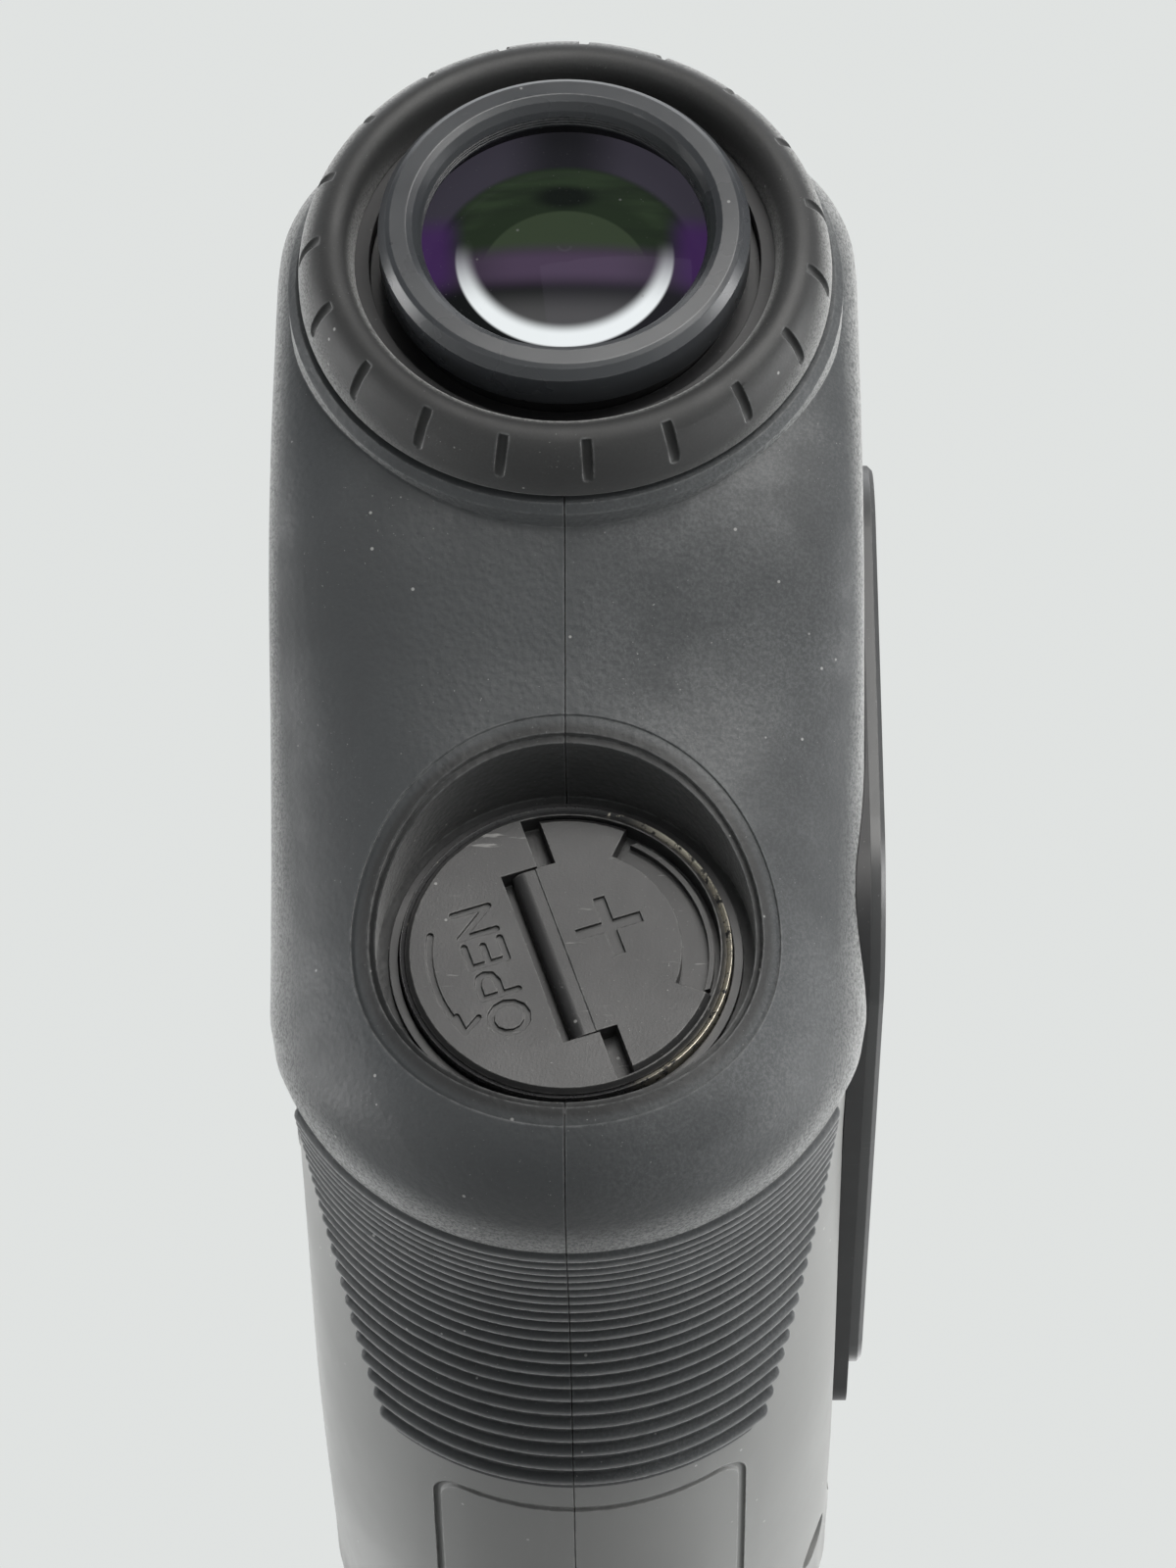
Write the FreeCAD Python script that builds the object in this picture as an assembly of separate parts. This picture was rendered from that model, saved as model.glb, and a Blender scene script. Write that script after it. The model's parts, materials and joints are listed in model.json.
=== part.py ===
"""Hand-held laser rangefinder: an upright monocular body with a battery bulge under the eyepiece.

Row frame, millimetres: +Y runs out of the objective, +Z is up in use, +X is the user's right hand side.
The origin is on the optical axis, in the plane of the front rim that the object can stand on.
Every physical piece is written as its own STEP file in parts/.
"""
import FreeCAD, Part
import math
import os

V = FreeCAD.Vector

# ---------------------------------------------------------------- driving dimensions
HALF_WIDTH = 18.8         # half of the body's thickness, without the side plate
TOP = 18.8                # highest point of the top line
ARMOUR = 1.45             # rubber overmould thickness
BARE = 0.80               # how far the bare shell lies below the armour's face
SHELL_OUT = 1.50          # shell's outer skin where the armour covers it
SHELL_IN = 3.20           # shell's inner skin
FRONT_SPLIT = -4.0        # plane where the shells meet the front bezel
SEAM = 0.03               # half of the gap between the left and the right halves

COLLAR_R, COLLAR_Y = 17.6, -99.1     # smooth collar of the housing around the dioptre ring
SLEEVE_R = 14.6                      # dioptre sleeve, where it passes through the housing
RING_BASE_Y = -99.3
NOTCHES, NOTCH_R, NOTCH_TURN = 19, 0.36, -5.2
BEZEL_END = -105.3                   # rear face of the ocular bezel
CARRIAGE_R = 10.9
BARREL_R = 12.3
PIN_Y, PIN_R = -97.2, 0.80           # cam pin that moves the lens carriage
LENS_TRAVEL, DIOPTRE_TURN = 1.5, 110.0

BATTERY_Z = -41.5                    # battery axis height
BATTERY_R, BATTERY_LENGTH, BATTERY_REAR = 7.8, 27.0, -81.0
CAP_FACE, CAP_R, CAP_RIM_R, CAP_UNDER = -86.5, 9.9, 10.25, -83.6
BOSS_R, BOSS_END = 9.33, -80.1
SOCKET_R = 10.9
SEAL = 0.8                           # thickness of the seal under the cap
RECESS_R, RECESS_FLOOR = 11.65, -84.6
LINING_R = 12.47                     # outside of the rubber lining in the battery recess
LIP_STEPS = ((13.2, 0.14), (12.1, 0.5))
CAP_TILT = 18.5                      # how far the cap is turned when it is screwed home, degrees
HINGE_X, HINGE_DEPTH, HINGE_PIN_R = -0.72, 0.92, 0.35    # fold line of the tab, in the cap's upright layout
KNUCKLE_R, KNUCKLE_HALF = 0.84, 6.0
TAB_R, TAB_THICK, TAB_GAP = 9.42, 1.32, 0.12
EAR_X = 0.15                         # the fixed half's ears end here, beside the knuckle
SLOT_X = -2.2                        # and its middle ends here
NAIL_R, NAIL_FROM, NAIL_TO = 7.15, -38.0, 48.0           # fingernail notch in the tab's edge
WORD_X, WORD_HEIGHT, WORD_LENGTH = -3.6, 2.3, 8.9        # word engraved on the fixed half
ARROW_R = 8.4

RIB_COUNT, RIB_PITCH, RIB_FIRST = 22, 1.52, -78.3
RIB_R, RIB_INSET = 0.64, 0.24        # bead radius, and how deep its centre lies under the armour's face
RIB_SPAN_REAR, RIB_SPAN_FRONT = 16.3, 12.3

PANEL_REAR = -42.2        # rear edge of the rating panel
PLATE_CORNERS = [(-82, -38), (-19, -42), (-19, -2), (-82, 2)]
PLATE_IN, PLATE_OUT = 19.05, 20.05   # magnetic side plate, distances from the middle plane
MAGNETS = [(-66, -26), (-66, -10), (-36, -28), (-36, -12)]
MAGNET_R = 4.0

OBJECTIVE_R = 12.0
WELL_FLOOR = -2.6         # depth of the recesses in front of the two front lenses
EMITTER_Z, EMITTER_R = -34.0, 7.0
FIRE_Y, FIRE_HALF_W, FIRE_HALF_L, FIRE_PROUD = -50.0, 7.2, 12.5, 0.8
MODE_Y, MODE_Z, MODE_R, MODE_PROUD = -46.0, -29.5, 4.6, 0.95
SLIDE_GAP = 0.08                     # running clearance round the buttons

OPEN_SCREWS = [(-31.0, 12.0), (-14.0, -50.0)]            # reached through holes in the bare right shell
SHELL_SCREWS = OPEN_SCREWS + [(-75.0, 13.0), (-12.0, -22.0), (-86.0, -25.0)]


# ---------------------------------------------------------------- small helpers
def cyl(r, y0, y1, x=0.0, z=0.0):
    """Cylinder along Y."""
    return Part.makeCylinder(r, y1 - y0, V(x, y0, z), V(0, 1, 0))


def cyl_x(r, x0, x1, y, z):
    return Part.makeCylinder(r, x1 - x0, V(x0, y, z), V(1, 0, 0))


def cyl_z(r, z0, z1, x, y):
    return Part.makeCylinder(r, z1 - z0, V(x, y, z0), V(0, 0, 1))


def tube(outer, inner, y0, y1, x=0.0, z=0.0):
    return cyl(outer, y0, y1, x, z).cut(cyl(inner, y0 - 1, y1 + 1, x, z))


def block(x0, x1, y0, y1, z0, z1):
    return Part.makeBox(x1 - x0, y1 - y0, z1 - z0, V(x0, y0, z0))


def turned(points, x=0.0, z=0.0, curve=()):
    """Solid of revolution about the Y axis from (radius, y) points; curve closes the outline smoothly."""
    corners = [V(r, y, 0) for r, y in points]
    if curve:
        bend = Part.BSplineCurve()
        bend.interpolate([corners[-1]] + [V(r, y, 0) for r, y in curve] + [corners[0]])
        sides = [Part.makeLine(p, q) for p, q in zip(corners, corners[1:])]
        outline = Part.Wire(sides + [bend.toShape()])
    else:
        outline = Part.makePolygon(corners + [corners[0]])
    solid = Part.Face(outline).revolve(V(0, 0, 0), V(0, 1, 0), 360)
    solid.translate(V(x, 0, z))
    return solid


def slab_x(points, x0, x1):
    """Prism along X over a (y, z) polygon."""
    loop = [V(x0, y, z) for y, z in points]
    return Part.Face(Part.makePolygon(loop + [loop[0]])).extrude(V(x1 - x0, 0, 0))


def rounded_loop(corners, radius, place):
    """Closed wire through 2-D corners with arcs of the given radius; place maps (u, v) to a 3-D point."""
    edges, ends = [], []
    count = len(corners)
    for i, (cu, cv) in enumerate(corners):
        pu, pv = corners[i - 1]
        nu, nv = corners[(i + 1) % count]
        back = math.hypot(pu - cu, pv - cv)
        ahead = math.hypot(nu - cu, nv - cv)
        bu, bv = (pu - cu) / back, (pv - cv) / back
        au, av = (nu - cu) / ahead, (nv - cv) / ahead
        half = math.acos(max(-1.0, min(1.0, bu * au + bv * av))) / 2
        run = radius / math.tan(half)
        mid_u, mid_v = (bu + au) / 2, (bv + av) / 2
        size = math.hypot(mid_u, mid_v)
        reach = radius / math.sin(half) - radius
        start = (cu + bu * run, cv + bv * run)
        middle = (cu + mid_u / size * reach, cv + mid_v / size * reach)
        end = (cu + au * run, cv + av * run)
        ends.append((start, middle, end))
    for i, (start, middle, end) in enumerate(ends):
        before = ends[i - 1][2]
        if math.hypot(before[0] - start[0], before[1] - start[1]) > 1e-6:
            edges.append(Part.makeLine(place(*before), place(*start)))
        edges.append(Part.Arc(place(*start), place(*middle), place(*end)).toShape())
    return Part.Wire(edges)


def rounded_slab_x(corners, radius, x0, x1):
    wire = rounded_loop(corners, radius, lambda y, z: V(x0, y, z))
    return Part.Face(wire).extrude(V(x1 - x0, 0, 0))


def rounded_slab_y(corners, radius, y0, y1):
    wire = rounded_loop(corners, radius, lambda x, z: V(x, y0, z))
    return Part.Face(wire).extrude(V(0, y1 - y0, 0))


def stadium_z(half_w, half_l, y, z0, z1):
    """Oval prism along Z, centred at x = 0."""
    corners = [(-half_w, y - half_l), (half_w, y - half_l), (half_w, y + half_l), (-half_w, y + half_l)]
    wire = rounded_loop(corners, half_w - 0.01, lambda x, yy: V(x, yy, z0))
    return Part.Face(wire).extrude(V(0, 0, z1 - z0))


def joined(shapes):
    first = shapes[0]
    return first.fuse(shapes[1:]).removeSplitter() if len(shapes) > 1 else first


# ---------------------------------------------------------------- body skin
class Spline:
    """Natural cubic spline through (x, y) points with x rising; past its ends it runs straight on."""

    def __init__(self, points):
        self.x = [float(p[0]) for p in points]
        self.y = [float(p[1]) for p in points]
        n = len(self.x)
        a, b, c, d = [0.0] * n, [1.0] * n, [0.0] * n, [0.0] * n
        for i in range(1, n - 1):
            lo, hi = self.x[i] - self.x[i - 1], self.x[i + 1] - self.x[i]
            a[i], b[i], c[i] = lo, 2 * (lo + hi), hi
            d[i] = 6 * ((self.y[i + 1] - self.y[i]) / hi - (self.y[i] - self.y[i - 1]) / lo)
        for i in range(1, n):
            w = a[i] / b[i - 1]
            b[i] -= w * c[i - 1]
            d[i] -= w * d[i - 1]
        self.m = [0.0] * n
        for i in range(n - 2, 0, -1):
            self.m[i] = (d[i] - c[i] * self.m[i + 1]) / b[i]

    def __call__(self, x):
        xs, ys, m = self.x, self.y, self.m
        i = 0
        while i < len(xs) - 2 and x > xs[i + 1]:
            i += 1
        h = xs[i + 1] - xs[i]
        x_in = min(max(x, xs[0]), xs[-1])
        a, b = (xs[i + 1] - x_in) / h, (x_in - xs[i]) / h
        value = a * ys[i] + b * ys[i + 1] + ((a ** 3 - a) * m[i] + (b ** 3 - b) * m[i + 1]) * h * h / 6
        slope = (ys[i + 1] - ys[i]) / h
        slope += ((1 - 3 * a * a) * m[i] + (3 * b * b - 1) * m[i + 1]) * h / 6
        return value + slope * (x - x_in)


# underside: shoulder under the battery, finger scallop with the ribs, front belly.  (y, z)
BOTTOM = Spline([(-98, -58.6), (-88, -59.5), (-82, -59.1), (-76, -58.0), (-70, -57.0), (-61, -56.7),
                 (-53, -57.8),
                 (-46, -59.3), (-39, -61.0), (-30, -62.3), (-15, -62.6), (-4, -62.2), (6, -61.6)])
# rear face: flat round the eyepiece, then leaning forward over the battery.  (z, y)
REAR = Spline([(-70, -86.2), (-60, -88.2), (-54, -89.4), (-42, -90.4), (-31, -91.9), (-25, -93.7),
               (-19, -96.7),
               (-13, -98.4), (0, -98.5), (10, -98.5), (24, -98.4)])
REAR_DEPTH = Spline([(-60, 17.0), (-45, 16.0), (-30, 13.0), (-15, 9.0), (0, 8.4), (6, 9.2), (12, 12.5),
                     (24, 17.0)])
REAR_POWER = Spline([(-60, 2.2), (-45, 2.35), (-30, 3.0), (-15, 3.9), (0, 3.9), (6, 3.5), (12, 2.7),
                     (24, 2.3)])
TOP_DEPTH, TOP_POWER = 14.0, 2.8
TOP_CROWN = 0.0006        # how fast the top line falls away from its middle
FRONT_END, FRONT_DEPTH = 1.6, 9.0     # the nose would close here; the front rim cuts it off at y = 0
OPEN_FRONT = 16.0         # nose position for inner forms that must stay full width up to the front
CORNER = 5.0              # how square the side outline's corners are
SKIN_CENTRE = (-50.0, -20.0)
SKIN_RAYS, SKIN_STEPS = 120, 12


def skin_terms(y, z, inset, front=FRONT_END):
    """How close (y, z) is to each side of the outline: 0 in the flat middle, 1 on the outline."""
    top = TOP - TOP_CROWN * (y + 50) ** 2
    gaps = [
        (y - REAR(z) - inset, REAR_DEPTH(z) - inset, REAR_POWER(z)),
        (z - BOTTOM(y) - inset, HALF_WIDTH - inset, 2.0),
        (top - z - inset, TOP_DEPTH - inset, TOP_POWER),
        (front - y - inset, FRONT_DEPTH - inset, 3.0),
    ]
    terms = [max(0.0, 1 - gap / depth) for gap, depth, _ in gaps]
    level = sum(t ** CORNER for t in terms) ** (1 / CORNER)
    weight = sum(t ** 3 for t in terms) + 1e-9
    power = (sum(t ** 3 * gap[2] for t, gap in zip(terms, gaps)) + 1e-9 * 2.5) / weight
    return level, power


def skin_radius(angle, level, inset, front=FRONT_END):
    """Distance from the skin's centre to the contour of that level, along a ray in the side view."""
    cy, cz = SKIN_CENTRE
    c, s = math.cos(angle), math.sin(angle)
    near, far = 0.0, 120.0
    for _ in range(34):
        mid = (near + far) / 2
        if skin_terms(cy + c * mid, cz + s * mid, inset, front)[0] < level:
            near = mid
        else:
            far = mid
    return (near + far) / 2


def skin_meridian(angle, inset, front):
    """Points from the flat side (x = half width) over the rounded edge to the middle plane (x = 0)."""
    cy, cz = SKIN_CENTRE
    half = HALF_WIDTH - inset
    dense = []
    for k in range(41):
        level = math.sin(math.radians(2 + 88 * k / 40)) ** 0.75
        radius = skin_radius(angle, level, inset, front)
        y, z = cy + math.cos(angle) * radius, cz + math.sin(angle) * radius
        power = skin_terms(y, z, inset, front)[1]
        x = half * max(0.0, 1 - level ** power) ** (1 / power)
        dense.append((x, y, z))
    dense[0] = (half, dense[0][1], dense[0][2])
    dense[-1] = (0.0, dense[-1][1], dense[-1][2])
    length = [0.0]
    for p, q in zip(dense, dense[1:]):
        length.append(length[-1] + math.dist(p, q))
    points = []
    for k in range(SKIN_STEPS + 1):
        want = length[-1] * k / SKIN_STEPS
        i = max(j for j in range(len(length)) if length[j] <= want + 1e-9)
        i = min(i, len(length) - 2)
        f = (want - length[i]) / (length[i + 1] - length[i])
        points.append(tuple(a + (b - a) * f for a, b in zip(dense[i], dense[i + 1])))
    return points


def skin_angles():
    """Ray angles spread evenly along the outline, starting and ending at the front."""
    cy, cz = SKIN_CENTRE
    fine = [2 * math.pi * i / 720 for i in range(721)]
    outline = []
    for angle in fine:
        r = skin_radius(angle, 1.0, 0.0)
        outline.append((cy + r * math.cos(angle), cz + r * math.sin(angle)))
    length = [0.0]
    for p, q in zip(outline, outline[1:]):
        length.append(length[-1] + math.dist(p, q))
    angles, i = [], 0
    for k in range(SKIN_RAYS + 1):
        want = length[-1] * k / SKIN_RAYS
        while i < 719 and length[i + 1] < want:
            i += 1
        f = (want - length[i]) / (length[i + 1] - length[i])
        angles.append(fine[i] + (fine[i + 1] - fine[i]) * f)
    return angles


ANGLES = skin_angles()


def fitted(points, closed, steps):
    """Interpolating curve with evenly spaced parameters, so that neighbouring curves share their knots."""
    curve = Part.BSplineCurve()
    curve.interpolate(Points=points, PeriodicFlag=closed, Parameters=[i / steps for i in range(steps + 1)])
    return curve


def skin_surface(inset, front):
    """Smooth surface through every meridian: closed round the outline, open from side to side."""
    rows = []
    for angle in ANGLES[:-1]:
        right = skin_meridian(angle, inset, front)
        left = [(-x, y, z) for x, y, z in reversed(right[:-1])]
        rows.append([V(*p) for p in right + left])
    steps = len(rows[0]) - 1
    rings = [fitted([row[k] for row in rows], True, len(rows)) for k in range(steps + 1)]
    ring_poles = [ring.getPoles() for ring in rings]
    spans = [fitted([poles[j] for poles in ring_poles], False, steps) for j in range(len(ring_poles[0]))]
    surface = Part.BSplineSurface()
    surface.buildFromPolesMultsKnots(
        [span.getPoles() for span in spans],
        rings[0].getMultiplicities(), spans[0].getMultiplicities(),
        rings[0].getKnots(), spans[0].getKnots(), True, False, 3, 3)
    return surface


FORMS = {}


def body_solid(inset, front=FRONT_END):
    """The whole body form, shrunk evenly by inset; front is where its rounded nose would close."""
    if (inset, front) not in FORMS:
        FORMS[inset, front] = closed_form(inset, front)
    return FORMS[inset, front]


def closed_form(inset, front):
    skin = skin_surface(inset, front).toShape()
    sides = [Part.Face(Part.Wire(edge)) for edge in skin.Edges if edge.BoundBox.XLength < 1e-3]
    shell = Part.makeShell([skin] + sides)
    shell.sewShape()
    solid = Part.makeSolid(shell.Shells[0])
    if solid.Volume < 0:
        solid.reverse()
    return solid


def trimmed(solid, y0, y1):
    return solid.common(block(-40, 40, y0, y1, -80, 40))


def halves(solid):
    """Left and right parts of a solid, with the seam's gap between them."""
    left = solid.common(block(-40, -SEAM, -120, 20, -80, 40))
    right = solid.common(block(SEAM, 40, -120, 20, -80, 40))
    return left, right


# ---------------------------------------------------------------- housing
def fire_opening(grow, z0, z1):
    return stadium_z(FIRE_HALF_W + grow, FIRE_HALF_L + grow, FIRE_Y, z0, z1)


def recess_lip():
    """Cutters for the chamfer round the battery recess: each ring goes a little deeper than the last."""
    cutters = []
    for radius, depth in LIP_STEPS:
        cutters.append(cyl(radius, -110, -70, z=BATTERY_Z).cut(body_solid(depth)))
    return cutters


def under_z(x, y, inset):
    """Height of the underside at (x, y)."""
    half = HALF_WIDTH - inset
    low, high = BOTTOM(y) - 1, -30.0
    for _ in range(40):
        mid = (low + high) / 2
        level, power = skin_terms(y, mid, inset)
        reach = half * max(0.0, 1 - min(level, 1.0) ** power) ** (1 / power)
        if reach < x:
            low = mid
        else:
            high = mid
    return (low + high) / 2


def rib(index):
    """Right half of one rounded bead across the underside."""
    y = RIB_FIRST + RIB_PITCH * index
    along = index / (RIB_COUNT - 1)
    span = rib_span(along)
    points = []
    for k in range(9):
        x = SEAM + (span - SEAM) * math.sin(math.pi / 2 * k / 8)
        points.append(V(x, y, under_z(x, y, RIB_INSET)))
    path = Part.BSplineCurve()
    path.interpolate(points)
    end = Part.Circle(points[0], V(1, 0, 0), RIB_R).toShape()
    bead = Part.Wire(path.toShape()).makePipeShell([Part.Wire(end)], True, False)
    return joined([bead, Part.makeSphere(RIB_R, points[-1])])


def label_frame():
    """Shallow debossed outline of the plain rating panel on the belly."""
    place = lambda x, y: V(x, y, -70)
    loops = []
    for shrink, radius in ((0.0, 2.2), (0.5, 1.7)):
        x0, x1, y0, y1 = -9.5 + shrink, 11.5 - shrink, PANEL_REAR + shrink, PANEL_REAR + 27 - shrink
        loop = rounded_loop([(x0, y0), (x1, y0), (x1, y1), (x0, y1)], radius, place)
        loops.append(Part.Face(loop).extrude(V(0, 0, 30)))
    return loops[0].cut(loops[1]).cut(body_solid(BARE + 0.25))


def armour_region(grow=0.0):
    """Where the rubber lies: all of the rear, and a tapering grip pad under the finger scallop."""
    edge = [(-72.5, 40), (-72.5, 6), (-71.0, -10), (-71.0, -26), (-73.5, -38), (-78.5, -47), (-82.0, -70)]
    rear = slab_x([(-120, -70), (-120, 40)] + [(y + grow, z) for y, z in edge], -40, 40)
    pad = []
    for k in range(7):
        along = k / 6
        pad.append((rib_span(along) + 0.35 + grow, RIB_FIRST + RIB_PITCH * (RIB_COUNT - 1) * along))
    tip = RIB_FIRST + RIB_PITCH * (RIB_COUNT - 1) + RIB_R + 0.35 + grow
    outline = [(pad[0][0], -90.0)] + pad + [(pad[-1][0] - 0.9, tip)]
    outline += [(-x, y) for x, y in reversed(outline)]
    loop = [V(x, y, -80) for x, y in outline]
    grip = Part.Face(Part.makePolygon(loop + [loop[0]])).extrude(V(0, 0, 42))
    return rear.fuse(grip)


def rib_span(along):
    """Half width of the ribbed pad; along runs from 0 at the rear to 1 at the front."""
    return RIB_SPAN_FRONT + (RIB_SPAN_REAR - RIB_SPAN_FRONT) * (1 - along ** 2)


def magnet_holes():
    return [cyl_x(MAGNET_R + 0.05, 16.2, 25, y, z) for y, z in MAGNETS]


def armour_halves():
    form = body_solid(0.0).common(armour_region()).cut(body_solid(ARMOUR))
    collar = turned([(SLEEVE_R + 0.25, -96.5), (COLLAR_R, -96.5), (COLLAR_R, COLLAR_Y + 0.5),
                     (COLLAR_R - 0.5, COLLAR_Y), (SLEEVE_R + 0.25, COLLAR_Y)])
    lining = [tube(LINING_R, RECESS_R, -97, RECESS_FLOOR - 0.02, z=BATTERY_Z),
              tube(LINING_R, SOCKET_R + 0.03, RECESS_FLOOR - 0.6, RECESS_FLOOR - 0.02, z=BATTERY_Z)]
    form = form.fuse([collar.cut(body_solid(ARMOUR))] + [ring.common(body_solid(0.4)) for ring in lining])
    cutters = [cyl(SLEEVE_R + 0.25, -110, -90), cyl(RECESS_R, -110, RECESS_FLOOR - 0.6, z=BATTERY_Z),
               cyl(SOCKET_R + 0.03, -110, -70, z=BATTERY_Z)]
    form = form.cut(cutters + recess_lip() + magnet_holes())
    left, right = halves(form)
    beads = [rib(i).cut(body_solid(ARMOUR * 0.7)) for i in range(RIB_COUNT)]
    mirrored = [bead.mirror(V(0, 0, 0), V(1, 0, 0)) for bead in beads]
    return left.fuse(mirrored), right.fuse(beads)


def shell_halves():
    """Rigid halves: bare at the front and sides, sunk under the armour, with bosses and the recess wall."""
    outer = trimmed(body_solid(BARE), -120, FRONT_SPLIT - 0.03)
    under_armour = armour_region(0.05).cut(body_solid(SHELL_OUT))
    frame_seat = fire_opening(1.15, 5, 30).cut(body_solid(SHELL_OUT + 0.2))
    hollow = outer.cut([under_armour, frame_seat, label_frame(), plate_recess()])
    form = hollow.cut(body_solid(SHELL_IN, OPEN_FRONT))
    extras = [cyl(13.6, -96, RECESS_FLOOR + 1.6, z=BATTERY_Z)]
    extras += [cyl_x(2.6, -16.5, 16.5, y, z) for y, z in SHELL_SCREWS]
    form = form.fuse([extra.common(hollow) for extra in extras])
    cutters = [cyl(SLEEVE_R + 0.08, -110, -90), cyl(15.25, -92.45, -90.75),
               cyl(LINING_R + 0.03, -110, RECESS_FLOOR, z=BATTERY_Z),
               cyl(SOCKET_R + 0.03, -110, -70, z=BATTERY_Z), fire_opening(SLIDE_GAP, 5, 30),
               cyl_x(MODE_R + SLIDE_GAP, -30, -10, MODE_Y, MODE_Z)]
    left, right = halves(form.cut(cutters + magnet_holes()))
    left = left.cut([cyl_x(0.86, -9.2, 1, y, z) for y, z in SHELL_SCREWS])
    access = [cyl_x(1.1, -1, 12, y, z) for y, z in SHELL_SCREWS]
    access += [cyl_x(2.0, 11.0, 15.9, y, z) for y, z in SHELL_SCREWS]
    access += [cyl_x(2.0, 11.0, 30, y, z) for y, z in OPEN_SCREWS]
    return left, right.cut(access)


def plate_recess():
    """Shallow flat recess on the right side, in which the side plate stands."""
    corners = [(-90, -44.5), (-8, -47.0), (-8, 4.0), (-90, 6.0)]
    return rounded_slab_x(corners, 9.5, HALF_WIDTH - BARE - 0.22, 30)


def cross_head(y, z, x):
    """Cross recess of a screw whose head's top lies at x."""
    return [block(x - 0.8, x + 0.1, y - 1.1, y + 1.1, z - 0.2, z + 0.2),
            block(x - 0.8, x + 0.1, y - 0.2, y + 0.2, z - 1.1, z + 1.1)]


def housing_screws():
    screws = []
    for y, z in SHELL_SCREWS:
        screw = joined([cyl_x(0.84, -8.6, 11.2, y, z), cyl_x(1.9, 11.02, 12.4, y, z)])
        screws.append(screw.cut(cross_head(y, z, 12.4)))
    return Part.makeCompound(screws)


def front_bezel():
    plate = trimmed(body_solid(BARE + 0.05), FRONT_SPLIT + 0.04, 0)
    tongue = body_solid(SHELL_IN + 0.08, OPEN_FRONT).cut(body_solid(SHELL_IN + 1.6, OPEN_FRONT))
    tongue = trimmed(tongue, -8, FRONT_SPLIT + 0.05)
    form = plate.fuse(tongue)
    cell = cyl(OBJECTIVE_R + 1.15, -12, -4.16)
    wells = [turned([(0, -5), (radius - 0.6, -5), (radius - 0.6, WELL_FLOOR), (radius + 0.7, WELL_FLOOR),
                     (radius + 0.7, 0.5), (0, 0.5)], z=z)
             for radius, z in ((OBJECTIVE_R, 0), (EMITTER_R, EMITTER_Z))]
    panel = rounded_slab_y([(-14.5, -56), (14.5, -56), (14.5, 14.8), (-14.5, 14.8)], 9.0, -0.7, 1.0)
    rim = joined([tube(radius + 2.2, radius + 0.5, -0.8, 1.1, z=z)
                  for radius, z in ((OBJECTIVE_R, 0), (EMITTER_R, EMITTER_Z))])
    form = form.cut(wells + [cell, panel.cut(rim)])
    return form


def side_plate():
    plate = rounded_slab_x(PLATE_CORNERS, 9.0, PLATE_IN, PLATE_OUT)
    rim = [edge for edge in plate.Edges if edge.BoundBox.XMin > PLATE_OUT - 0.01]
    return plate.makeChamfer(0.3, rim)


def magnet_tray():
    """Thin carrier under the side plate, filling the space down to the body's side."""
    corners = [(y + math.copysign(-1.6, y + 50), z + math.copysign(-1.6, z + 20)) for y, z in PLATE_CORNERS]
    tray = rounded_slab_x(corners, 7.4, HALF_WIDTH - BARE - 0.19, PLATE_IN - 0.02)
    tray = tray.cut([armour_region(0.1).common(body_solid(-0.02)),
                     body_solid(BARE - 0.02).cut(plate_recess())])
    return tray.cut([cyl_x(MAGNET_R + 0.05, 10, 25, y, z) for y, z in MAGNETS])


def side_magnets():
    return Part.makeCompound([cyl_x(MAGNET_R, 16.25, PLATE_IN - 0.03, y, z) for y, z in MAGNETS])


# ---------------------------------------------------------------- eyepiece
def dioptre_ring():
    """Rubber grip ring: sloping wall, rounded crest, and notches cut through the crest."""
    base = RING_BASE_Y
    bore = [(13.25, base - 1.95), (SLEEVE_R + 0.02, base - 1.95), (SLEEVE_R + 0.02, base), (16.55, base),
            (16.85, base - 0.3)]
    crest = [(16.8, base - 1.4), (16.55, base - 2.5), (16.1, base - 3.45), (15.4, base - 4.15),
             (14.6, base - 4.35),
             (13.9, base - 4.05), (13.45, base - 3.3)]
    ring = turned(bore, curve=crest)
    cutters = []
    for i in range(NOTCHES):
        low = V(16.85, base - 1.9, 0)
        high = V(15.5, base - 4.25, 0)
        run = high.sub(low)
        notch = Part.makeCylinder(NOTCH_R, run.Length, low, run).fuse(Part.makeSphere(NOTCH_R, low))
        notch.rotate(V(0, 0, 0), V(0, 1, 0), 90 + NOTCH_TURN + 360 * i / NOTCHES)
        cutters.append(notch)
    return ring.cut(cutters)


def helical_groove():
    """Cam groove in the dioptre sleeve's bore, passing the pin at mid travel."""
    lead = LENS_TRAVEL * 360 / DIOPTRE_TURN
    turn = 2 * (DIOPTRE_TURN + 6)
    half = PIN_R + 0.05
    helix = Part.makeHelix(lead, lead * turn / 360, BARREL_R + 0.5)
    profile = Part.makePolygon([V(BARREL_R - 0.5, 0, -half), V(BARREL_R + 1.2, 0, -half),
                                V(BARREL_R + 1.2, 0, half), V(BARREL_R - 0.5, 0, half),
                                V(BARREL_R - 0.5, 0, -half)])
    groove = Part.Wire(helix.Edges).makePipeShell([profile], True, True)
    groove.rotate(V(0, 0, 0), V(1, 0, 0), -90)
    groove.rotate(V(0, 0, 0), V(0, 1, 0), -90 - turn / 2)
    groove.translate(V(0, PIN_Y - lead * turn / 720, 0))
    return groove


def dioptre_sleeve():
    sleeve = tube(SLEEVE_R, BARREL_R + 0.05, -101.2, -92.6)
    return sleeve.cut(helical_groove())


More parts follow.
